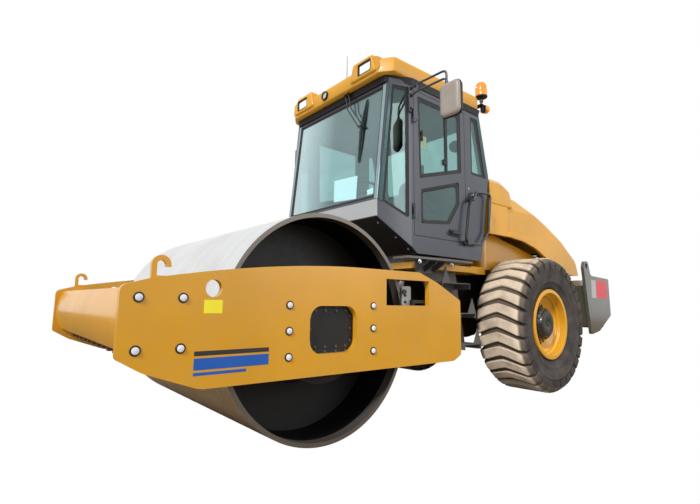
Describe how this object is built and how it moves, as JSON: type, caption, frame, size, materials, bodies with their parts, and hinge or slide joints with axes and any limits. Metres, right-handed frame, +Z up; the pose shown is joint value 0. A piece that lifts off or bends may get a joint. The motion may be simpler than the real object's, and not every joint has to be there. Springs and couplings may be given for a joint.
{
  "type": "road roller",
  "caption": "Articulated single-drum soil compactor with a smooth steel drum in a plate frame, an enclosed cab, a sloping engine hood and two lugged rear tyres.",
  "frame": {"origin": "on the ground at the middle of the machine's length and width", "axes": "+X to the machine's left, -Y the way the drum leads, +Z up"},
  "size_m": [2.752, 6.0794, 3.33],
  "materials": {
    "yellow": "satin",
    "dark_paint": "satin",
    "cab_grey": "satin",
    "drum_steel": "satin",
    "black_steel": "satin",
    "rubber": "satin",
    "tyre": "satin",
    "glass": "satin",
    "chrome": "satin",
    "tail_grey": "satin",
    "plastic": "satin",
    "amber": "satin",
    "fabric": "satin",
    "lens": "satin"
  },
  "bodies": {
    "rear_frame": {"rear_chassis": "yellow", "deck": "yellow", "cab_mounts": "rubber", "engine_block": "dark_paint", "radiator": "dark_paint", "rear_axle": "yellow", "inner_fenders": "yellow", "platform": "dark_paint", "steps": "dark_paint", "rear_bumper": "tail_grey", "rear_plates": "tail_grey", "cab_shell": "cab_grey", "windscreen": "glass", "rear_glass": "glass", "side_glass": "glass", "roof": "yellow", "roof_lamps": "lens", "beacon": "amber", "mirrors": "plastic", "grab_rails": "dark_paint", "seat": "fabric", "console": "plastic", "steering_wheel": "plastic"},
    "centre_joint": {"centre_yoke": "yellow"},
    "front_frame": {"side_plate_left": "yellow", "side_plate_right": "yellow", "front_beam": "yellow", "rear_beam": "yellow", "scraper_front": "black_steel", "scraper_rear": "black_steel", "drum_carriers": "black_steel", "rubber_buffers": "rubber", "drum_motors": "black_steel"},
    "drum": {"drum_shell": "drum_steel", "drum_heads": "black_steel"},
    "barrel_left": {"steering_barrel_left": "black_steel"},
    "barrel_right": {"steering_barrel_right": "black_steel"},
    "rod_left": {"steering_rod_left": "chrome"},
    "rod_right": {"steering_rod_right": "chrome"},
    "wheel_left": {"tyre_left": "tyre", "rim_left": "yellow", "hub_left": "black_steel"},
    "wheel_right": {"tyre_right": "tyre", "rim_right": "yellow", "hub_right": "black_steel"},
    "door": {"door_frame": "cab_grey", "door_glass": "glass", "door_handle": "plastic"},
    "hood": {"hood": "yellow", "rear_grille": "dark_paint"}
  },
  "joints": [
    {"name": "steering", "type": "hinge", "parent": "rear_frame", "child": "centre_joint", "pos_m": [0, -0.595, 0.74], "axis": [0, 0, 1], "range_deg": [-33, 33]},
    {"name": "oscillation", "type": "hinge", "parent": "centre_joint", "child": "front_frame", "pos_m": [0, -0.785, 0.74], "axis": [0, 1, 0], "range_deg": [-10, 10]},
    {"name": "drum_roll", "type": "hinge", "parent": "front_frame", "child": "drum", "pos_m": [0, -1.745, 0.755], "axis": [1, 0, 0], "continuous": true},
    {"name": "wheel_left_spin", "type": "hinge", "parent": "rear_frame", "child": "wheel_left", "pos_m": [0.895, 1.265, 0.715], "axis": [1, 0, 0], "continuous": true},
    {"name": "wheel_right_spin", "type": "hinge", "parent": "rear_frame", "child": "wheel_right", "pos_m": [-0.895, 1.265, 0.715], "axis": [1, 0, 0], "continuous": true},
    {"name": "cab_door", "type": "hinge", "parent": "rear_frame", "child": "door", "pos_m": [0.822, -0.572, 2.19], "axis": [0, 0, -1], "range_deg": [0, 90]},
    {"name": "hood_lift", "type": "hinge", "parent": "rear_frame", "child": "hood", "pos_m": [0, 2.865, 1.325], "axis": [-1, 0, 0], "range_deg": [0, 60]},
    {"name": "barrel_left_swing", "type": "hinge", "parent": "rear_frame", "child": "barrel_left", "pos_m": [0.24, 0.155, 0.6653], "axis": [0, 0, 1], "range_deg": [-2, 2]},
    {"name": "barrel_right_swing", "type": "hinge", "parent": "rear_frame", "child": "barrel_right", "pos_m": [-0.24, 0.155, 0.6653], "axis": [0, 0, 1], "range_deg": [-2, 2]},
    {"name": "rod_left_slide", "type": "slide", "parent": "barrel_left", "child": "rod_left", "axis": [-0.016, -0.9999, 0], "range_m": [-0.127, 0.127]},
    {"name": "rod_right_slide", "type": "slide", "parent": "barrel_right", "child": "rod_right", "axis": [0.016, -0.9999, 0], "range_m": [-0.127, 0.127]}
  ],
  "couplings": [
    {"joint": "barrel_left_swing", "follows": "steering", "ratio": 0.056},
    {"joint": "barrel_right_swing", "follows": "steering", "ratio": 0.056},
    {"joint": "rod_left_slide", "follows": "steering", "m_per_rad": -0.2176},
    {"joint": "rod_right_slide", "follows": "steering", "m_per_rad": 0.2176}
  ]
}
